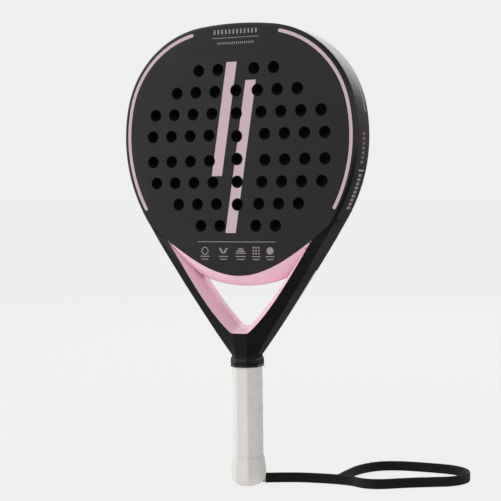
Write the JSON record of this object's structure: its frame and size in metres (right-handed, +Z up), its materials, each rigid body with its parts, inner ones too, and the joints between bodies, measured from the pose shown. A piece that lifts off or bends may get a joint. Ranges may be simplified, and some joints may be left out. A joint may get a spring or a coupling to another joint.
{
  "type": "padel racket",
  "caption": "Perforated solid-face padel racket with a teardrop head, open throat bridge, octagonal grip, rubber collar and wrist strap.",
  "frame": {"origin": "middle of the butt cap's underside, on the mid-plane between the two faces", "axes": "+Z up the handle to the top of the head, +Y from the front face to the rear face, +X to the right seen from the front"},
  "size_m": [0.3259, 0.1396, 0.455],
  "materials": {
    "frame_composite": "painted carbon and glass composite, satin black with a pink throat",
    "filler_foam": "rigid filler foam",
    "eva_foam": "black EVA foam, drilled",
    "face_laminate": "resin laminate, fine sanded satin black with pink print",
    "pallet_foam": "moulded rigid foam",
    "grip_leatherette": "pale grey cushioned synthetic grip",
    "black_tape": "matt adhesive tape",
    "collar_rubber": "moulded glossy black rubber",
    "cap_plastic": "moulded pale grey plastic",
    "staple_steel": "zinc-plated steel wire",
    "strap_webbing": "black flat woven polyester",
    "strap_thread": "black polyester thread"
  },
  "bodies": {
    "racket": {"frame_tube": "frame_composite", "bridge_tube": "frame_composite", "frame_foam": "filler_foam", "bridge_foam": "filler_foam", "eva_core": "eva_foam", "front_face": "face_laminate", "rear_face": "face_laminate", "handle_pallet_front": "pallet_foam", "handle_pallet_rear": "pallet_foam", "grip_wrap": "grip_leatherette", "finishing_tape": "black_tape", "butt_cap": "cap_plastic", "butt_staples": "staple_steel", "strap_pin": "staple_steel", "strap_root": "strap_webbing"},
    "collar_ring": {"collar": "collar_rubber"},
    "wrist_strap": {"strap": "strap_webbing", "strap_stitching": "strap_thread"}
  },
  "joints": [
    {"name": "collar_slide", "type": "slide", "parent": "racket", "child": "collar_ring", "axis": [0, 0, -1], "range_m": [0, 0.014]},
    {"name": "strap_swivel", "type": "hinge", "parent": "racket", "child": "wrist_strap", "pos_m": [0.01245, 0.01395, 0], "axis": [0, 0, 1], "range_deg": [-35, 35]}
  ]
}
